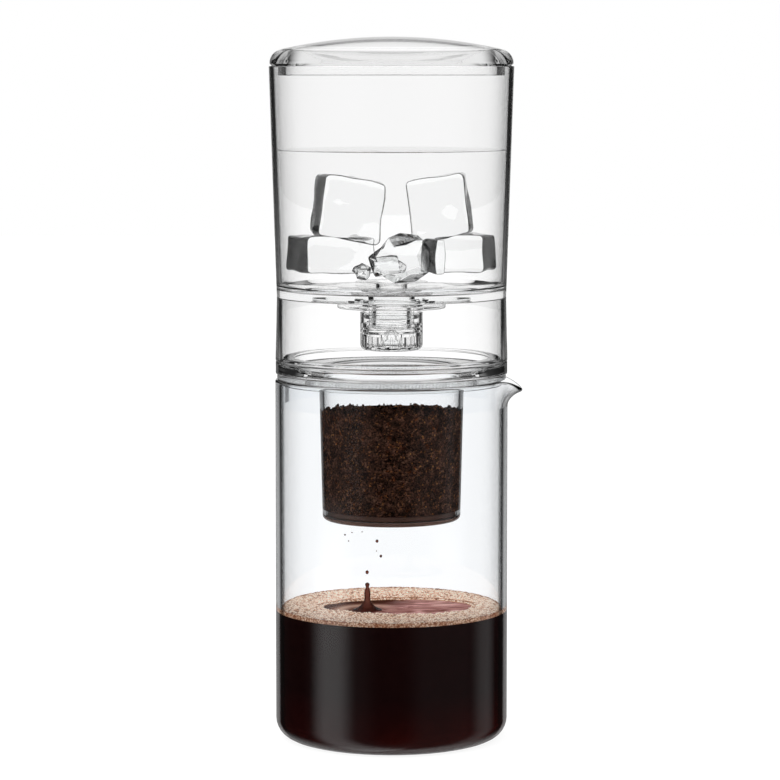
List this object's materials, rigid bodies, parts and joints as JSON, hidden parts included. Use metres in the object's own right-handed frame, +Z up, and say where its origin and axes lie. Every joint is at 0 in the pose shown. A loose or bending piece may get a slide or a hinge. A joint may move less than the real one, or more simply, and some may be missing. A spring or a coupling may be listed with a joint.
{
  "type": "cold brew coffee maker",
  "caption": "Cold drip brewer in three stacked clear vessels: lidded water tank with a screw drip valve, filter cup hanging inside, and a spouted glass carafe below.",
  "frame": {"origin": "centre of the carafe's flat foot, where it stands on the table", "axes": "+Z up through the axis of every vessel, +X towards the carafe's pouring lip, +Y across it"},
  "size_m": [0.105, 0.101, 0.2908],
  "materials": {
    "borosilicate_glass": "clear, fire polished",
    "clear_plastic": "clear, moulded, polished",
    "tank_plastic": "clear, moulded, polished",
    "frosted_plastic": "translucent",
    "silicone": "translucent, satin",
    "stainless_steel": "etched"
  },
  "bodies": {
    "carafe": {"carafe": "borosilicate_glass"},
    "coffee_container": {"coffee_container": "clear_plastic", "carafe_gasket": "silicone", "filter_mesh": "stainless_steel", "filter_clamp_ring": "frosted_plastic"},
    "water_tank": {"water_tank": "tank_plastic", "valve_body": "clear_plastic", "valve_body_gasket": "silicone", "clamp_nut_washer": "silicone", "clamp_nut": "clear_plastic", "knob_o_ring": "silicone"},
    "valve_plug": {"valve_plug": "silicone"},
    "valve_knob": {"valve_knob": "clear_plastic"},
    "lid": {"lid": "tank_plastic"}
  },
  "joints": [
    {"name": "container_lift", "type": "slide", "parent": "carafe", "child": "coffee_container", "axis": [0, 0, 1], "range_m": [0, 0.065]},
    {"name": "tank_lift", "type": "slide", "parent": "coffee_container", "child": "water_tank", "axis": [0, 0, 1], "range_m": [0, 0.03]},
    {"name": "lid_lift", "type": "slide", "parent": "water_tank", "child": "lid", "axis": [0, 0, 1], "range_m": [0, 0.03]},
    {"name": "knob_travel", "type": "slide", "parent": "water_tank", "child": "valve_plug", "axis": [0, 0, 1], "range_m": [-0.0016, 0.0006]},
    {"name": "knob_turn", "type": "hinge", "parent": "valve_plug", "child": "valve_knob", "pos_m": [0, 0, 0.17], "axis": [0, 0, 1], "range_deg": [-270, 90]}
  ],
  "couplings": [
    {"joint": "knob_travel", "follows": "knob_turn", "m_per_rad": 0.00031831}
  ]
}
